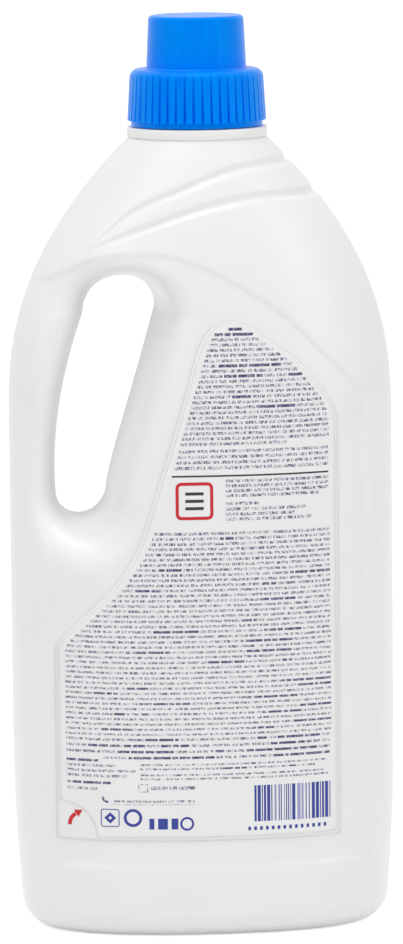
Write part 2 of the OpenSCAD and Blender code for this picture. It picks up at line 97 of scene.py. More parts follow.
# %% White blown HDPE
white_hdpe, tree, shader = new_finish("HDPE_blown_white", {
    "Roughness": 0.36,
    "IOR": 1.54,
    "Subsurface Weight": 0.12,
    "Subsurface Radius": (1.0, 1.0, 0.95),
    "Subsurface Scale": 0.0025,
})
place = object_place(tree)
slow_waves = add_node(tree, "ShaderNodeTexNoise", {}, {
    "Vector": place, "Scale": 42.0, "Detail": 1.0, "Roughness": 0.4})
mould_grain = add_node(tree, "ShaderNodeTexNoise", {}, {
    "Vector": place, "Scale": 1700.0, "Detail": 2.0, "Roughness": 0.6})
tint = add_node(tree, "ShaderNodeValToRGB", {}, {"Fac": slow_waves.outputs["Fac"]})
tint.color_ramp.elements[0].color = linear("#eeeeec")
tint.color_ramp.elements[1].color = linear("#f2f2f1")
tree.links.new(tint.outputs["Color"], shader.inputs["Base Color"])
axes = add_node(tree, "ShaderNodeSeparateXYZ", {}, {"Vector": place})
off_seam = add_node(tree, "ShaderNodeMath", {"operation": "ABSOLUTE"}, {0: axes.outputs["Y"]})
seam = add_node(tree, "ShaderNodeMapRange", {"interpolation_type": "SMOOTHSTEP"}, {
    "Value": off_seam.outputs[0], "From Min": 0.0001, "From Max": 0.0005, "To Min": 1.0, "To Max": 0.0})
waves = add_node(tree, "ShaderNodeBump", {}, {
    "Height": slow_waves.outputs["Fac"], "Strength": 0.5, "Distance": 0.0004})
grain = add_node(tree, "ShaderNodeBump", {}, {
    "Height": mould_grain.outputs["Fac"], "Strength": 0.25, "Distance": 0.00004, "Normal": waves.outputs[0]})
parting = add_node(tree, "ShaderNodeBump", {}, {
    "Height": seam.outputs[0], "Strength": 0.6, "Distance": 0.00015, "Normal": grain.outputs[0]})
tree.links.new(parting.outputs[0], shader.inputs["Normal"])
print("finish:", white_hdpe.name)

# %% [markdown]
# ## The shape of the body
# Every height has an oval section, a superellipse that goes from boxy at the foot to round at the
# neck. The functions below give its half width and half depth at a height, the same as in the
# model's source, so that the finer skin lies on the model. All of them work in millimetres.

# %% Oval sections from foot to neck
BODY_W, BODY_D, BODY_H, WALL = 126.4, 80.0, 261.0, 1.7
SECTION_POWER = 2.3
SHOULDER_H, SHOULDER_POWER, NECK_ROOT_R = 88.8, 2.25, 22.5
FOOT_R, FOOT_TAPER, FOOT_H, PUSH_UP = 9.0, 3.4, 67.0, 4.5


def mix(a, b, share):
    return a + (b - a) * share


def clamp(share):
    return min(1.0, max(0.0, share))


def ease(share):
    share = clamp(share)
    return share * share * (3 - 2 * share)


def lean(z):
    return clamp((z - BODY_H + SHOULDER_H) / SHOULDER_H)


def half(size, z):
    straight = mix(size / 2, NECK_ROOT_R, lean(z) ** SHOULDER_POWER)
    taper = FOOT_TAPER * clamp(1 - z / FOOT_H) ** 2.2
    rise = max(0.0, FOOT_R - z)
    return straight - taper - (FOOT_R - math.sqrt(max(0.0, FOOT_R ** 2 - rise ** 2)))


def half_w(z):
    return half(BODY_W, z)


def half_d(z):
    return half(BODY_D, z)


def power(z):
    return mix(SECTION_POWER, 2, lean(z))


def plain_y(x, z):
    n = power(z)
    return half_d(z) * max(0.0, 1 - min(1.0, abs(x) / half_w(z)) ** n) ** (1 / n)


def fullness(x, y, z):
    n = power(z)
    return (abs(x) / half_w(z)) ** n + (abs(y) / half_d(z)) ** n


def outward(x, y, z):
    n = power(z)
    top = min(BODY_H, z + 0.2)
    slope_x = math.copysign(n * abs(x) ** (n - 1) / half_w(z) ** n, x)
    slope_y = math.copysign(n * abs(y) ** (n - 1) / half_d(z) ** n, y)
    slope_z = (fullness(x, y, top) - fullness(x, y, z - 0.2)) / (top - z + 0.2)
    length = math.sqrt(slope_x ** 2 + slope_y ** 2 + slope_z ** 2)
    return slope_x / length, slope_y / length, slope_z / length


print("half width at 100 mm:", half_w(100), "and at the neck:", half_w(BODY_H))

# %% [markdown]
# ## The opening for the fingers
# The mould pinches the tube flat there, so front and back meet in the middle plane. The opening is a
# leaning slot: a small round end below, a larger one above, and a middle line that leans towards the
# neck. The skin rises from its edge, steeply at first and then more and more gently, which gives a
# rounded rim that a hand closes on and a nearly flat wall beside it.

# %% The slot and the sunk wall round it
HOLE_H, HOLE_DROP, HOLE_LOW_R, HOLE_HIGH_R = 80.0, 44.5, 8.7, 12.3
HOLE_BELLY, GRIP_W, HOLE_LEAN = 0.8, 14.6, 13.3
REACH_BODY, REACH_GRIP, REACH_LOW, REACH_HIGH = 12.5, 26.0, 19.0, 8.2
PINCH_FALL, PINCH_POWER = 3, 0.42
LOW_X, LOW_Z = -BODY_W / 2 + GRIP_W + HOLE_LOW_R, BODY_H - HOLE_DROP - HOLE_H + HOLE_LOW_R
HIGH_X, HIGH_Z = LOW_X + HOLE_LEAN, BODY_H - HOLE_DROP - HOLE_HIGH_R
HOLE_FLOOR, HOLE_ROOF = LOW_Z - HOLE_LOW_R, HIGH_Z + HOLE_HIGH_R


def hole_share(z):
    return clamp((z - LOW_Z) / (HIGH_Z - LOW_Z))


def hole_mid(z):
    return mix(LOW_X, HIGH_X, hole_share(z) ** 1.4)


def half_chord(r, off):
    return math.sqrt(max(0.0, r * r - off * off))


def hole_half(z):
    if z < LOW_Z:
        return half_chord(HOLE_LOW_R, LOW_Z - z)
    if z > HIGH_Z:
        return half_chord(HOLE_HIGH_R, z - HIGH_Z)
    swell = HOLE_BELLY * math.sin(math.pi * hole_share(z))
    return mix(HOLE_LOW_R, HOLE_HIGH_R, math.sin(math.pi / 2 * hole_share(z))) + swell


def hole_far(x, z):
    if z < LOW_Z:
        return math.hypot(x - LOW_X, z - LOW_Z) - HOLE_LOW_R
    if z > HIGH_Z:
        return math.hypot(x - HIGH_X, z - HIGH_Z) - HOLE_HIGH_R
    return abs(x - hole_mid(z)) - hole_half(z)


def hole_reach(x, z):
    side = REACH_GRIP if x < hole_mid(z) else REACH_BODY
    low = max(0.0, LOW_Z - z) / max(0.001, math.hypot(x - LOW_X, z - LOW_Z))
    high = max(0.0, z - HIGH_Z) / max(0.001, math.hypot(x - HIGH_X, z - HIGH_Z))
    return mix(mix(side, REACH_LOW, low * low), REACH_HIGH, high * high)


def skin_y(x, z):
    rest = 1 - clamp(hole_far(x, z) / hole_reach(x, z))
    return plain_y(x, z) * (1 - rest ** PINCH_FALL) ** PINCH_POWER


print("the opening runs from", round(HOLE_FLOOR, 1), "to", round(HOLE_ROOF, 1), "mm up")

# %% [markdown]
# ## Ridge, grooves and label panel
# Two grooves sweep over the shoulder, and below them a soft step marks the top of a slightly sunk
# panel, which keeps a label from rubbing on other bottles. Each line is a few heights along the
# width, joined by a smooth curve. A row of the skin follows each line, so the step and the grooves
# stay crisp without a very fine mesh everywhere.

# %% Feature lines across the body
RIDGE_LINE = [(-1, -47.8), (-0.854, -42.3), (-0.66, -37.4), (-0.345, -36.5), (-0.176, -37.8),
              (-0.015, -40.9), (0.133, -45), (0.414, -55.9), (0.667, -72.6), (0.786, -80.7), (1, -92)]
LOW_WAVE = [(-1, -43.6), (-0.686, -33.4), (-0.381, -26.9), (0.005, -21.4), (0.437, -18.4), (1, -18.1)]
HIGH_WAVE = [(-1, -40.6), (-0.8, -36.2), (-0.584, -23.6), (-0.22, -15.9), (0.278, -9.8), (1, -7.4)]
RIDGE_HALF, WAVE_DEEP, WAVE_W = 1.3, 1.1, 2.1
PANEL_SINK, PANEL_BAND, PANEL_LOW, PANEL_STEP = 0.8, 9.2, 25.5, 2.6


def curve(points, q):
    last = len(points) - 1
    i = 0
    while i < last - 1 and q >= points[i + 1][0]:
        i += 1
    slopes = []
    for k in (i, i + 1):
        before, after = points[max(0, k - 1)], points[min(last, k + 1)]
        slopes.append((after[1] - before[1]) / (after[0] - before[0]))
    width = points[i + 1][0] - points[i][0]
    t = (q - points[i][0]) / width
    s = 1 - t
    return (points[i][1] * (1 + 2 * t) * s * s + slopes[0] * width * t * s * s
            + points[i + 1][1] * t * t * (3 - 2 * t) - slopes[1] * width * t * t * s)


def ridge(q):
    return BODY_H + curve(RIDGE_LINE, q)


def low_wave(q):
    return BODY_H + curve(LOW_WAVE, q)


def high_wave(q):
    return BODY_H + curve(HIGH_WAVE, q)


def wave_half(q):
    return min(WAVE_W, 0.35 * (high_wave(q) - low_wave(q)))


print("the step crosses the middle at", round(ridge(0.0), 1), "mm up")

# %% [markdown]
# ## Rows and columns of the skin
# The skin is two sheets, one from the grip to the opening and one from the opening to the far side.
# A row is numbered by the feature it follows: 3 is the opening's floor, 4 its roof, 5 and 6 the
# step, 8 and 11 the grooves and 13 the neck ring. Rows between them have parts of a number.

# %% Where a row and a column meet
SPLIT_LOW, SPLIT_HIGH = LOW_X / half_w(HOLE_FLOOR), HIGH_X / half_w(HOLE_ROOF)
CROWD_SHARE, CROWD_BELOW, CROWD_ABOVE = 9 / 22, 20.0, 14.0


def row_key(key, q, t):
    if key == 4:
        return HOLE_ROOF + ridge(q) - ridge(SPLIT_HIGH)
    if key in (5, 6):
        return ridge(t) + (2 * key - 11) * RIDGE_HALF
    if key in (7, 8, 9):
        return low_wave(t) + (key - 8) * wave_half(t)
    if key in (10, 11, 12):
        return high_wave(t) + (key - 11) * wave_half(t)
    return {0: 0.0, 1: PANEL_LOW - PANEL_STEP, 2: PANEL_LOW, 3: HOLE_FLOOR, 13: BODY_H}[key]


def row_z(row, q, t):
    key = min(12, math.floor(row))
    return mix(row_key(key, q, t), row_key(key + 1, q, t), row - key)


def column_q(share, left, split):
    angle = math.acos(-split)
    return -math.cos(angle * share) if left else -math.cos(mix(angle, math.pi, share))


def near_hole(z):
    if z < HOLE_FLOOR:
        return ease(1 - (HOLE_FLOOR - z) / CROWD_BELOW)
    return ease(1 - (z - HOLE_ROOF) / CROWD_ABOVE) if z > HOLE_ROOF else 1.0


def column_x(share, left, z):
    w = half_w(z)
    split = mix(SPLIT_LOW, SPLIT_HIGH, clamp((z - HOLE_FLOOR) / (HOLE_ROOF - HOLE_FLOOR)))
    plain = w * column_q(share, left, split)
    if left:
        crowded = mix(-w, hole_mid(z) - hole_half(z), (1 - math.cos(math.pi * share)) / 2)
    elif share >= CROWD_SHARE:
        crowded = plain
    else:
        end = w * column_q(CROWD_SHARE, False, split)
        crowded = mix(hole_mid(z) + hole_half(z), end, (share / CROWD_SHARE) ** 1.5)
    return mix(plain, crowded, near_hole(z))


def sunk(row, x, t):
    sides = 1 - ease((abs(x) - BODY_W / 2 + PANEL_BAND + PANEL_STEP) / PANEL_STEP)
    panel = PANEL_SINK * sides * min(ease(row - 1), 1 - ease(row - 5))
    groove = max(ease(1 - abs(row - 8)), ease(1 - abs(row - 11)))
    return panel + WAVE_DEEP * groove * ease((t + 0.85) / 0.4)


def skin_point(row, share, left):
    q = column_q(share, left, SPLIT_HIGH)
    z = row_z(row, q, q)
    if row > 4:
        for _ in range(6):
            z = row_z(row, q, column_x(share, left, z) / half_w(z))
    x = column_x(share, left, z)
    side_edge = share == (0 if left else 1)
    slot_edge = share == (1 if left else 0) and 3 <= row <= 4
    if slot_edge:
        return x, 0.0, z
    y = 0.0 if side_edge else -skin_y(x, z)
    deep = sunk(row, x, x / half_w(z))
    if deep == 0:
        return x, y, z
    nx, ny, nz = outward(x, 0.0 if side_edge else -plain_y(x, z), z)
    return x - deep * nx, y - deep * ny, z - deep * nz


def even(start, end, count):
    return [mix(start, end, i / count) for i in range(1, count + 1)]


foot_rows = [FOOT_R * (1 - math.cos(math.pi / 2 * i / 14)) / (PANEL_LOW - PANEL_STEP) for i in range(15)]
low_rows = [2 + 1 - (1 - i / 34) ** 1.9 for i in range(1, 35)]
slot_angles = [1 - math.cos(math.pi / 2 * i / 14) for i in range(1, 15)]
slot_rows = [3 + HOLE_LOW_R * a / HOLE_H for a in slot_angles]
slot_rows += even(slot_rows[-1], 4 - HOLE_HIGH_R / HOLE_H, 20)
slot_rows += [4 - HOLE_HIGH_R * a / HOLE_H for a in reversed([0.0] + slot_angles[:-1])]
ROWS = foot_rows + even(foot_rows[-1], 1, 4) + even(1, 2, 4) + low_rows + slot_rows
ROWS += [4 + (i / 12) ** 2 for i in range(1, 13)]
for start, end, count in [(5, 6, 6), (6, 7, 16), (7, 8, 5), (8, 9, 5), (9, 10, 5), (10, 11, 5), (11, 12, 5),
                          (12, 13, 12)]:
    ROWS += even(start, end, count)
print(len(ROWS), "rows of the skin")

# %% [markdown]
# ## The blown body
# A grid from bmesh.ops.create_grid has its corners in rows, so each sheet is a flat grid whose
# corners are moved to the skin. The sheets are merged where they meet, and the back is the mirror
# image of the front, as in a mould of two halves. The open foot and the open neck are then extruded
# ring by ring, and the wall gets its thickness last, inwards, so that the outside stays true.

# %% Sheets, mirror, foot, neck and wall
def add_sheet(bm, left, columns):
    shares = [i / columns for i in range(columns + 1)]
    made = bmesh.ops.create_grid(bm, x_segments=columns, y_segments=len(ROWS) - 1, size=1.0)
    places = [(row, share) for row in ROWS for share in shares]
    for corner, (row, share) in zip(made["verts"], places):
        corner.co = skin_point(row, share, left)


def next_ring(bm, edges, place):
    made = bmesh.ops.extrude_edge_only(bm, edges=edges)["geom"]
    corners = {item for item in made if isinstance(item, bmesh.types.BMVert)}
    for corner in corners:
        corner.co = place(corner.co)
    return [item for item in made if isinstance(item, bmesh.types.BMEdge)
            and item.is_boundary and set(item.verts) <= corners]


def open_edges(bm, low, high):
    return [edge for edge in bm.edges if edge.is_boundary
            and all(low <= corner.co.z <= high for corner in edge.verts)]


def at_radius(radius, z):
    def place(co):
        reach = math.hypot(co.x, co.y)
        return co.x * radius / reach, co.y * radius / reach, z
    return place


body = bmesh.new()
add_sheet(body, True, 34)
add_sheet(body, False, 78)
bmesh.ops.remove_doubles(body, verts=body.verts, dist=0.004)
bmesh.ops.mirror(body, geom=body.verts[:] + body.edges[:] + body.faces[:], axis="Y", merge_dist=0.004)
print("sheets:", len(body.faces), "faces")

foot = open_edges(body, -1.0, 1.0)
scale_now = 1.0
for scale, share in [(0.97, 0.0), (0.93, 0.0), (0.89, 0.16), (0.8, 0.55), (0.66, 0.78), (0.5, 0.9),
                     (0.25, 0.98)]:
    factor, height = scale / scale_now, PUSH_UP * share
    foot = next_ring(body, foot, lambda co: (co.x * factor, co.y * factor, height))
    scale_now = scale
next_ring(body, foot, lambda co: (0.0, 0.0, PUSH_UP))
bmesh.ops.remove_doubles(body, verts=body.verts, dist=0.004)

NECK_R, RING_R, RING_H, NECK_H = 19.0, 23.1, 3.2, 16.5
RING_TOP = BODY_H + RING_H
NECK_TOP = RING_TOP + NECK_H
neck = open_edges(body, BODY_H - 0.5, BODY_H + 0.5)
for radius, z in [(RING_R - 0.4, BODY_H), (RING_R - 0.1, BODY_H + 0.12), (RING_R, BODY_H + 0.4),
                  (RING_R, RING_TOP - 0.4), (RING_R - 0.1, RING_TOP - 0.12), (RING_R - 0.4, RING_TOP),
                  (NECK_R + 0.6, RING_TOP), (NECK_R + 0.15, RING_TOP + 0.15), (NECK_R, RING_TOP + 0.6),
                  (NECK_R, NECK_TOP - 0.5), (NECK_R - 0.15, NECK_TOP - 0.15), (NECK_R - 0.5, NECK_TOP)]:
    neck = next_ring(body, neck, at_radius(radius, z))
bmesh.ops.recalc_face_normals(body, faces=body.faces)
print("outside:", len(body.faces), "faces, open edges:", sum(edge.is_boundary for edge in body.edges))

# %% [markdown]
# ## Wall, thread and the finished bottle
# The skin gets a wall of 1.7 mm towards the inside, which closes it over the rim of the neck. Rows
# crowd at the two ends of the opening, where an even wall would fly apart, so a Solidify modifier
# with a plain offset makes it, and a vertex group thins the wall there. The thread is one ridge that
# climbs one and a half turns. A small section of it is spun round the neck with a rise at each step,
# as a shell that stands in the wall.

# %% The wall and the neck's thread
THREAD_PITCH, THREAD_STEPS, THREAD_TURNS = 4.0, 144, 1.5


def finish_piece(name, bm, material, rides_on, stands_for):
    bmesh.ops.scale(bm, vec=(0.001, 0.001, 0.001), verts=bm.verts)
    mesh = bpy.data.meshes.new(name)
    bm.to_mesh(mesh)
    bm.free()
    piece = bpy.data.objects.new(name, mesh)
    scene.collection.objects.link(piece)
    mesh.materials.append(material)
    mesh.shade_smooth()
    mesh.set_sharp_from_angle(angle=math.radians(40))
    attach(piece, rides_on)
    if stands_for:
        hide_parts(*stands_for)
    triangles = sum(len(face.vertices) - 2 for face in mesh.polygons)
    print(name, "has", triangles, "triangles")
    return piece


def add_thread(bm, radius, proud, low_z, foot_half, top_half, turns):
    section = [(radius, -foot_half), (radius + proud, -top_half),
               (radius + proud, top_half), (radius, foot_half)]
    corners = [bm.verts.new((r, 0.0, low_z + z)) for r, z in section]
    face = bm.faces.new(corners)
    steps = round(THREAD_STEPS * turns)
    bmesh.ops.spin(bm, geom=[face] + list(face.edges) + corners, axis=(0, 0, 1), cent=(0, 0, 0),
                   dvec=(0, 0, THREAD_PITCH * turns / steps), angle=2 * math.pi * turns, steps=steps)


bottle_skin = finish_piece("bottle_skin", body, white_hdpe, "bottle_with_spout", ["bottle"])
wall = bottle_skin.modifiers.new("wall", "SOLIDIFY")
wall.thickness = WALL / 1000
wall.offset = -1.0
full_wall = bottle_skin.vertex_groups.new(name="full_wall")
for corner in bottle_skin.data.vertices:
    x, y, z = corner.co * 1000
    near_low, near_high = math.hypot(x - LOW_X, y, z - HOLE_FLOOR), math.hypot(x - HIGH_X, y, z - HOLE_ROOF)
    full_wall.add([corner.index], clamp(min(near_low, near_high) / 4), "REPLACE")
wall.vertex_group = "full_wall"
wall.thickness_vertex_group = 0.03
thread = bmesh.new()
add_thread(thread, NECK_R - 0.4, 1.3, RING_TOP + 4.2, 1.0, 0.5, THREAD_TURNS)
bmesh.ops.recalc_face_normals(thread, faces=thread.faces)
neck_thread = finish_piece("neck_thread", thread, white_hdpe, "bottle_with_spout", [])

# %% [markdown]
# ## Cap and pouring spout
# Both are injection moulded from polypropylene, in polished steel. The cap's blue is strong and
# clean, with a clear highlight; the spout is natural white and a little milky. Their shapes in the
# model are right as they are, so the model's own pieces stay and only take a better finish. Flow
# in the mould leaves very faint streaks along the height, drawn here as stretched noise. The blue is
# purer than a screen can show, so its highlight is tinted too: a white one would turn it violet.

# %% Blue and white polypropylene
def moulded_pp(name, low_hex, high_hex, roughness, glow, sheen_hex):
    material, tree, shader = new_finish(name, {
        "Roughness": roughness, "IOR": 1.49, "Specular IOR Level": 0.22, "Specular Tint": linear(sheen_hex),
        "Subsurface Weight": glow, "Subsurface Scale": 0.004, "Subsurface Radius": (0.3, 0.7, 1.0)})
    place = object_place(tree)
    stretched = add_node(tree, "ShaderNodeMapping", {}, {"Vector": place, "Scale": (260.0, 260.0, 24.0)})
    streaks = add_node(tree, "ShaderNodeTexNoise", {}, {
        "Vector": stretched.outputs[0], "Scale": 1.0, "Detail": 2.0, "Roughness": 0.5})
    tint = add_node(tree, "ShaderNodeValToRGB", {}, {"Fac": streaks.outputs["Fac"]})
    tint.color_ramp.elements[0].color = linear(low_hex)
    tint.color_ramp.elements[1].color = linear(high_hex)
    tree.links.new(tint.outputs["Color"], shader.inputs["Base Color"])
    bump = add_node(tree, "ShaderNodeBump", {}, {
        "Height": streaks.outputs["Fac"], "Strength": 0.2, "Distance": 0.00005})
    tree.links.new(bump.outputs[0], shader.inputs["Normal"])
    return material


blue_pp = moulded_pp("PP_glossy_blue", "#0078fa", "#0096ff", 0.28, 0.3, "#08b0ff")
white_pp = moulded_pp("PP_milky_white", "#ececeb", "#f2f2f1", 0.3, 0.1, "#ffffff")
for name, material in [("cap", blue_pp), ("pouring_spout", white_pp)]:
    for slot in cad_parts[name].material_slots:
        slot.material = material
print("finishes:", blue_pp.name, "and", white_pp.name)

# %% [markdown]
# ## The label's film
# A label of two plies is printed on white polypropylene film. The lower ply is glued to the bottle,
# and the upper one peels off at a cut corner to show more print. Each ply is a grid whose rows run
# from the label's left outline to its right one. Its corners are laid on the sunk panel, and the
# upper ply lies a little higher than the lower one, so that its edge catches a fine line of light.

# %% Satin film
film, tree, shader = new_finish("PP_film_white", {"Roughness": 0.42, "IOR": 1.49})
place = object_place(tree)
ripple = add_node(tree, "ShaderNodeTexNoise", {}, {"Vector": place, "Scale": 55.0, "Detail": 1.0})
tint = add_node(tree, "ShaderNodeValToRGB", {}, {"Fac": ripple.outputs["Fac"]})
tint.color_ramp.elements[0].color = linear("#eeeeee")
tint.color_ramp.elements[1].color = linear("#f1f1f1")
tree.links.new(tint.outputs["Color"], shader.inputs["Base Color"])
bump = add_node(tree, "ShaderNodeBump", {}, {
    "Height": ripple.outputs["Fac"], "Strength": 0.4, "Distance": 0.00015})
tree.links.new(bump.outputs[0], shader.inputs["Normal"])
print("finish:", film.name)

# %% [markdown]
# ## The label's outline
# The left side follows the sunk wall of the opening and then the body's edge, and the right side
# follows the step. Heights are counted from the lowest point of the drawn outline.

# %% Outline and plies
LABEL_LOW, LABEL_LEFT, LABEL_RIGHT, PEEL_R, LABEL_MARGIN = 34.0, 50.2, 41.4, 11.8, 1.1
LABEL_TOP = HOLE_ROOF - 14.2
LABEL_RUN = 168.3
LEFT_SIDE = [(0, -51), (60.9, -50.4), (69.1, -44), (77.5, -35.6), (81.8, -31.5), (90.4, -25.6),
             (97.3, -22.1), (105.6, -19.6), (124.2, -13.5), (149.4, -6), (158, -3.4), (163.6, -0.9),
             (166.9, 2.2), (168.3, 6.2)]
RIGHT_SIDE = [(0, 41.4), (131, 41.4), (139, 40.6), (145.2, 37), (154.9, 28.5), (162.6, 18.2),
              (166.6, 12.8), (168.3, 8.2)]


def label_left(z):
    return max(-LABEL_LEFT, curve(LEFT_SIDE, z - LABEL_TOP + LABEL_RUN))


def label_right(z):
    return min(LABEL_RIGHT, curve(RIGHT_SIDE, z - LABEL_TOP + LABEL_RUN))


def peeled_left(z):
    rise = z - LABEL_LOW
    return label_left(z) + (math.sqrt(PEEL_R ** 2 - rise ** 2) if rise < PEEL_R else 0.0)


def rounded(z, radius):
    rise = max(0.0, LABEL_LOW + radius - z)
    return radius - math.sqrt(max(0.0, radius ** 2 - rise ** 2))


def on_panel(x, z, lift):
    nx, ny, nz = outward(x, -plain_y(x, z), z)
    off = lift - PANEL_SINK
    return x + off * nx, -plain_y(x, z) + off * ny, z + off * nz


def beyond(outline, z, margin):
    slope = (outline(min(LABEL_TOP, z + 0.1)) - outline(z - 0.1)) / (min(LABEL_TOP, z + 0.1) - z + 0.1)
    length = math.copysign(math.hypot(1, slope), margin)
    return outline(z) + margin / abs(length), z - margin * slope / abs(length)


def add_ply(name, outline, lift, stands_for):
    ply = bmesh.new()
    made = bmesh.ops.create_grid(ply, x_segments=56, y_segments=len(outline) - 1, size=1.0)
    shares = [i / 56 for i in range(57)]
    places = []
    for left, right in outline:
        places += [(mix(left[0], right[0], i), mix(left[1], right[1], i)) for i in shares]
    for corner, (x, z) in zip(made["verts"], places):
        corner.co = on_panel(x, z, lift)
    piece = finish_piece(name, ply, film, "bottle_with_spout", [stands_for])
    thickness = piece.modifiers.new("film", "SOLIDIFY")
    thickness.thickness = 0.0001
    thickness.offset = -1.0
    return piece


BASE_LIFT, TOP_LIFT, INK_LIFT = 0.3, 0.5, 0.04
heights = [LABEL_LOW + PEEL_R * math.sin(math.pi / 2 * i / 20) for i in range(21)]
heights += even(LABEL_LOW + PEEL_R, 95.0, 26)
heights += [mix(95.0, LABEL_TOP, 1 - (1 - i / 90) ** 1.6) for i in range(1, 91)]
base_rows = [(beyond(label_left, z, -LABEL_MARGIN), beyond(label_right, z, LABEL_MARGIN)) for z in heights]
base_rows.insert(0, tuple((x, LABEL_LOW - LABEL_MARGIN) for x, z in base_rows[0]))
add_ply("label_base_film", base_rows, BASE_LIFT, "label_base")
top_rows = [((peeled_left(z), z), (label_right(z) - rounded(z, 1.5), z)) for z in heights]
add_ply("label_top_film", top_rows, TOP_LIFT, "label_top_ply")
print("the label is", round(LABEL_TOP - LABEL_LOW), "mm high")

# %% [markdown]
# ## Print as plain rows and shapes
# The real print is very small type. Here it is drawn as rows of thin bars, one bar for a word, with
# no letters in them. An ink pattern breaks each bar into strokes the size of a small letter, so a row
# reads as grey type at arm's length. Every bar is a strip of a grid laid just above the film.

# %% Inks
def ink(name, hex_colour, film_hex, stroke):
    material, tree, shader = new_finish(name, {"Roughness": 0.5, "IOR": 1.5})
    place = object_place(tree)
    narrow = add_node(tree, "ShaderNodeMapping", {}, {"Vector": place, "Scale": (2400.0, 600.0, 1100.0)})
    strokes = add_node(tree, "ShaderNodeTexNoise", {}, {
        "Vector": narrow.outputs[0], "Scale": 1.0, "Detail": 1.0, "Roughness": 0.5})
    gaps = add_node(tree, "ShaderNodeMapRange", {}, {
        "Value": strokes.outputs["Fac"], "From Min": stroke, "From Max": stroke + 0.06})
    tone = add_node(tree, "ShaderNodeValToRGB", {}, {"Fac": gaps.outputs[0]})
    tone.color_ramp.elements[0].color = linear(hex_colour)
    tone.color_ramp.elements[1].color = linear(film_hex)
    tree.links.new(tone.outputs["Color"], shader.inputs["Base Color"])
    return material


type_ink = ink("ink_grey_violet", "#66627e", "#e0dfe5", 0.45)
bold_ink = ink("ink_dark_violet", "#45426a", "#b4b3c6", 0.55)
black_print_and_edge_shade_ink = ink("ink_black_and_painted_edge_shade", "#202024", "#303034", 0.75)
red_ink = ink("ink_red", "#c8141f", "#d02630", 0.7)
blue_ink = ink("ink_blue", "#2b3a92", "#3c4a9c", 0.7)
pale_ink = ink("ink_pale_blue", "#9a9dc6", "#a9abce", 0.7)
print("six inks")

# %% [markdown]
# ## Rows of type
# A row starts a little inside the label's outline and ends a little inside the other side. The
# lengths of the words come from a counted random series, so the print is the same on each run.

# %% Words, rows and blocks
import random

words = random.Random(11)
ROW_STEP, LETTER, MARGIN = 1.69, 0.72, 2.2
type_sheet, bold_sheet = bmesh.new(), bmesh.new()


def add_strip(sheet, x0, x1, z0, z1, lift):
    count = max(1, math.ceil((x1 - x0) / 3.0))
    made = bmesh.ops.create_grid(sheet, x_segments=count, y_segments=1, size=1.0)
    for corner in made["verts"]:
        x, z = mix(x0, x1, (corner.co.x + 1) / 2), mix(z0, z1, (corner.co.y + 1) / 2)
        corner.co = on_panel(x, z, lift)


def add_row(z, x0, x1, height, bold_share):
    x = x0
    while x < x1 - 1.0:
        bold = words.random() < bold_share
        for _ in range(words.randint(1, 4) if bold else 1):
            end = min(x1, x + LETTER * height * words.randint(2, 10))
            if x1 - end < 1.6:
                end = x1
            if end - x > 0.5:
                add_strip(bold_sheet if bold else type_sheet, x, end, z - height / 2, z + height / 2,
                          TOP_LIFT + INK_LIFT)
            x = end + 0.55


def inside(z):
    return max(-47.8, label_left(z) + MARGIN), label_right(z) - MARGIN


for k in range(23):
    z = 200.7 - ROW_STEP * k
    x0, x1 = (6.2, 10.6) if k == 0 else (1.6, 14.2) if k == 1 else inside(z - 0.8)
    add_row(z, x0, x1 if k < 22 else x1 - 14, 0.95, 1.0 if k < 2 else 0.03)
for z in (161.1, 159.3, 157.5, 155.7):
    add_row(z, inside(z)[0], 38.9, 0.95, 0.0)
for z, end in [(151.3, 38.9), (149.7, 38.9), (148.1, 38.9), (146.5, 35.5), (143.9, 15.5), (142.1, 31.0),
               (140.4, 27.4), (138.8, 33.0)]:
    add_row(z, 4.6, end, 0.95, 0.0)
for k in range(40):
    z = 134.2 - ROW_STEP * k
    add_row(z, inside(z)[0], inside(z)[1], mix(0.9, 0.68, k / 39), 0.035)
for z, start in [(66.6, -47.7), (64.6, -47.7), (62.6, -47.7), (60.6, -36.0)]:
    add_row(z, start, 38.6, 0.8, 0.25)
for z, end, bold in [(59.6, -37.6, 1.0), (57.9, -32.2, 0.0), (56.2, -25.8, 0.0), (54.5, -28.6, 0.0),
                     (52.2, -33.8, 1.0), (50.2, -38.0, 0.0)]:
    add_row(z, -47.7, end, 0.8, bold)
for z, end in [(58.3, 37.5), (56.9, 33.6), (54.9, 36.6), (53.6, 37.8)]:
    add_row(z, -24.2, end, 0.6, 0.04)
add_row(50.6, -20.8, -6.4, 1.1, 0.0)
add_row(46.2, -33.0, -6.6, 0.7, 0.0)
print(len(type_sheet.faces) + len(bold_sheet.faces), "small faces of type")

# %% [markdown]
# ## Rules, outlines and marks
# The larger marks are kept as bare shapes: a rule, a four-sided outline, a ring, a box, a block of
# upright bars, and a bent arrow on the lower ply, where the upper one's corner is cut. An outline is
# a filled circle of few sides that is inset and then loses its middle. An arc is a straight grid bent
# round a point.

# %% Shapes laid on the label
black_print_and_edge_shade_sheet, red_sheet, blue_sheet, pale_sheet = [bmesh.new() for _ in range(4)]


def lay(corners, x, z, lift):
    for corner in corners:
        corner.co = on_panel(x + corner.co.x, z + corner.co.y, lift)


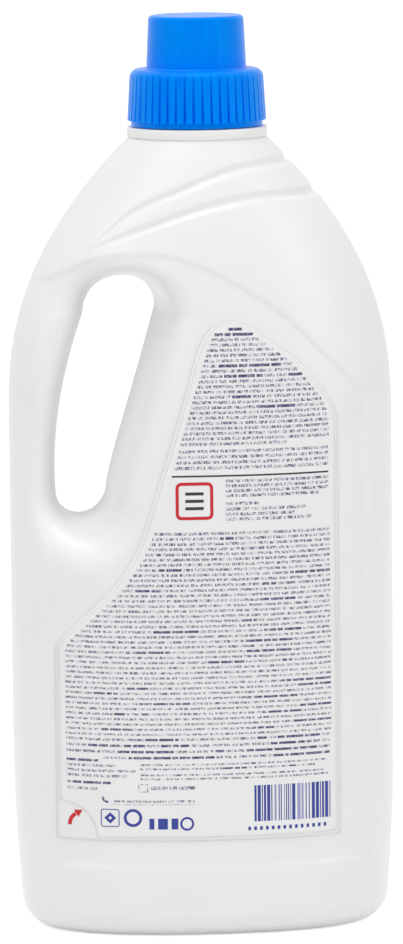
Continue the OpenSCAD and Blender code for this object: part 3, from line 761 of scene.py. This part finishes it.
def add_outline(sheet, x, z, radius, sides, thickness, stretch=1.0, round_off=0.0, turn=0.0):
    shape = bmesh.new()
    bmesh.ops.create_circle(shape, cap_ends=True, radius=radius, segments=sides)
    bmesh.ops.rotate(shape, verts=shape.verts, cent=(0, 0, 0), matrix=Matrix.Rotation(turn, 3, "Z"))
    bmesh.ops.scale(shape, vec=(stretch, 1, 1), verts=shape.verts)
    if round_off:
        bmesh.ops.bevel(shape, geom=shape.verts[:], offset=round_off, segments=3, profile=0.5,
                        affect="VERTICES", material=-1)
    middle = shape.faces[:]
    bmesh.ops.inset_region(shape, faces=middle, thickness=thickness, use_boundary=True, use_even_offset=True)
    bmesh.ops.delete(shape, geom=middle, context="FACES")
    bmesh.ops.subdivide_edges(shape, edges=[edge for edge in shape.edges if edge.calc_length() > 2.0],
                              cuts=4, use_grid_fill=True)
    lay(shape.verts, x, z, TOP_LIFT + INK_LIFT)
    flat = bpy.data.meshes.new("shape")
    shape.to_mesh(flat)
    shape.free()
    sheet.from_mesh(flat)
    bpy.data.meshes.remove(flat)


def add_arc(sheet, x, z, inner, outer, start, end, lift):
    made = bmesh.ops.create_grid(sheet, x_segments=24, y_segments=1, size=1.0)
    for corner in made["verts"]:
        angle = math.radians(mix(end, start, (corner.co.x + 1) / 2))
        reach = mix(inner, outer, (corner.co.y + 1) / 2)
        corner.co = on_panel(x + reach * math.cos(angle), z + reach * math.sin(angle), lift)


add_strip(black_print_and_edge_shade_sheet, -12.9, 38.9, 152.75, 153.3, TOP_LIFT + INK_LIFT)
add_outline(red_sheet, -5.6, 144.9, 8.7, 4, 1.05, round_off=1.8, turn=math.pi / 4)
for z in (147.3, 144.9, 142.5):
    add_strip(black_print_and_edge_shade_sheet, -8.6, -2.6, z - 0.5, z + 0.5, TOP_LIFT + INK_LIFT)
add_outline(blue_sheet, -34.05, 40.6, 4.25, 4, 0.3, round_off=0.8, turn=math.pi / 4)
add_outline(blue_sheet, -34.05, 40.6, 1.9, 4, 0.9)
add_outline(blue_sheet, -26.7, 40.7, 3.0, 36, 0.95)
add_outline(type_sheet, -23.3, 50.6, 1.9, 4, 0.25, stretch=1.15, turn=math.pi / 4)
for left, width in [(-21.4, 1.6), (-18.6, 3.2), (-14.2, 2.2)]:
    add_strip(blue_sheet, left, left + width, 36.9, 40.5, TOP_LIFT + INK_LIFT)
add_outline(blue_sheet, -9.1, 38.7, 2.3, 32, 0.7)
add_arc(bold_sheet, -34.9, 47.4, 1.1, 1.8, 170, 280, TOP_LIFT + INK_LIFT)
add_strip(type_sheet, -33.2, -6.2, 45.05, 45.2, TOP_LIFT + INK_LIFT)
# painted shade: a thin black line on the lower ply, right along the upper ply's cut corner, where that edge
# throws its shade
add_arc(black_print_and_edge_shade_sheet, LABEL_LEFT * -1, LABEL_LOW, PEEL_R - 0.05, PEEL_R + 0.1, 2, 88, BASE_LIFT + INK_LIFT)
add_arc(red_sheet, -42.9, 38.0, 3.5, 4.7, 122, 184, BASE_LIFT + INK_LIFT)
head = bmesh.ops.create_circle(red_sheet, cap_ends=True, radius=1.6, segments=3)["verts"]
bmesh.ops.rotate(red_sheet, verts=head, cent=(0, 0, 0), matrix=Matrix.Rotation(math.radians(-58), 3, "Z"))
lay(head, -44.3, 42.0, BASE_LIFT + INK_LIFT)

bars = random.Random(5)
x = 13.1
while x < 38.3:
    width = bars.choice([0.35, 0.35, 0.7, 1.05])
    sheet = pale_sheet if bars.random() < 0.22 else blue_sheet
    add_strip(sheet, x, min(38.8, x + width), 38.9, 50.9, TOP_LIFT + INK_LIFT)
    x += width + bars.choice([0.35, 0.35, 0.7, 0.7])
x = 11.0
while x < 38.0:
    add_strip(blue_sheet, x, x + 0.9, 36.0, 37.2, TOP_LIFT + INK_LIFT)
    x += 1.95
print("outlines, arcs and bars are laid")

# %% [markdown]
# ## Print pieces
# Each ink is one thin sheet, so that a colour can be changed in one place. The black sheet also holds a
# painted shade line along the upper ply's cut edge.

# %% Print on the label
for name, sheet, material in [("print_type", type_sheet, type_ink), ("print_bold", bold_sheet, bold_ink),
                              ("print_black_and_painted_edge_shade", black_print_and_edge_shade_sheet, black_print_and_edge_shade_ink), ("print_red", red_sheet, red_ink),
                              ("print_blue", blue_sheet, blue_ink), ("print_pale", pale_sheet, pale_ink)]:
    finish_piece(name, sheet, material, "bottle_with_spout", [])

# %% [markdown]
# ## Camera
# The photograph is taken from a little above the middle and a little to the left, with a long lens.
# The place, the turn and the lens were found by laying the model's outline over the bottle's.

# %% Camera
CAMERA_FAR, CAMERA_HIGH, CAMERA_TURN, CAMERA_ROLL = 2.3, 0.43, math.radians(-5), math.radians(-0.6236)
camera_data = bpy.data.cameras.new("camera")
camera = bpy.data.objects.new("camera", camera_data)
scene.collection.objects.link(camera)
scene.camera = camera
camera_data.sensor_fit = "VERTICAL"
camera_data.sensor_height = 24.0
camera_data.lens = 178.32
camera_data.shift_x = 0.00101
camera_data.shift_y = -0.01242
camera_place = (CAMERA_FAR * math.sin(CAMERA_TURN), -CAMERA_FAR * math.cos(CAMERA_TURN), CAMERA_HIGH)
stand = Matrix.Translation(camera_place)
aim = Matrix.Translation((0.0, 0.0, 0.1535)).to_translation() - stand.to_translation()
turned = aim.to_track_quat("-Z", "Y").to_matrix().to_4x4()
camera.matrix_world = stand @ turned @ Matrix.Rotation(CAMERA_ROLL, 4, "Z")
print("camera is", round(aim.length, 3), "m from the bottle")

# %% [markdown]
# ## Light and ground
# The bottle stands in a white studio, so most of its light comes from all round. One wide lamp above
# and a weak one on each side give the little direction that shows its form. The ground is white to
# the camera and to mirror-like surfaces, and it still darkens where the bottle keeps the light off it.

# %% World, lamps and ground
world = bpy.data.worlds.new("studio")
scene.world = world
world.use_nodes = True
sky = world.node_tree
sky.nodes.clear()
ray = add_node(sky, "ShaderNodeLightPath", {}, {})
seen = add_node(sky, "ShaderNodeMath", {"operation": "MAXIMUM"}, {
    0: ray.outputs["Is Camera Ray"], 1: ray.outputs["Is Glossy Ray"]})
shown = add_node(sky, "ShaderNodeMath", {"operation": "MAXIMUM"}, {
    0: seen.outputs[0], 1: ray.outputs["Is Transmission Ray"]})
light = add_node(sky, "ShaderNodeBackground", {}, {"Color": linear("#ffffff"), "Strength": 0.54})
white = add_node(sky, "ShaderNodeBackground", {}, {"Color": linear("#ffffff"), "Strength": 1.0})
both = add_node(sky, "ShaderNodeMixShader", {}, {
    0: shown.outputs[0], 1: light.outputs[0], 2: white.outputs[0]})
add_node(sky, "ShaderNodeOutputWorld", {}, {"Surface": both.outputs[0]})


def add_lamp(name, place, size, power):
    data = bpy.data.lights.new(name, "AREA")
    data.shape = "RECTANGLE"
    data.size, data.size_y = size
    data.energy = power
    lamp = bpy.data.objects.new(name, data)
    scene.collection.objects.link(lamp)
    stand = Matrix.Translation(place)
    aim = Matrix.Translation((0.0, 0.0, 0.15)).to_translation() - stand.to_translation()
    lamp.matrix_world = stand @ aim.to_track_quat("-Z", "Y").to_matrix().to_4x4()
    return lamp


add_lamp("lamp_over", (-0.25, -0.45, 1.7), (1.1, 1.1), 10.5)
add_lamp("lamp_left", (-1.1, -0.9, 0.9), (0.5, 1.2), 3.0)
add_lamp("lamp_right", (1.2, -0.8, 0.7), (0.5, 1.2), 4.0)

ground_paint, tree, shader = new_finish("paper_white_sweep", {
    "Roughness": 0.9, "Base Color": linear("#f2f2f2")})
ray = add_node(tree, "ShaderNodeLightPath", {}, {})
seen = add_node(tree, "ShaderNodeMath", {"operation": "MAXIMUM"}, {
    0: ray.outputs["Is Camera Ray"], 1: ray.outputs["Is Glossy Ray"]})
shown = add_node(tree, "ShaderNodeMath", {"operation": "MAXIMUM"}, {
    0: seen.outputs[0], 1: ray.outputs["Is Transmission Ray"]})
lift = add_node(tree, "ShaderNodeMath", {"operation": "MULTIPLY"}, {0: shown.outputs[0], 1: 0.6})
glow = add_node(tree, "ShaderNodeEmission", {}, {"Color": linear("#ffffff"), "Strength": lift.outputs[0]})
lit = add_node(tree, "ShaderNodeAddShader", {}, {0: shader.outputs[0], 1: glow.outputs[0]})
tree.links.new(lit.outputs[0], tree.nodes["Material Output"].inputs["Surface"])
sweep = bmesh.new()
bmesh.ops.create_grid(sweep, x_segments=4, y_segments=4, size=6.0)
sweep_mesh = bpy.data.meshes.new("ground")
sweep.to_mesh(sweep_mesh)
sweep.free()
sweep_mesh.materials.append(ground_paint)
ground = bpy.data.objects.new("ground", sweep_mesh)
scene.collection.objects.link(ground)
scene.view_settings.view_transform = "Standard"
print("stage is set")
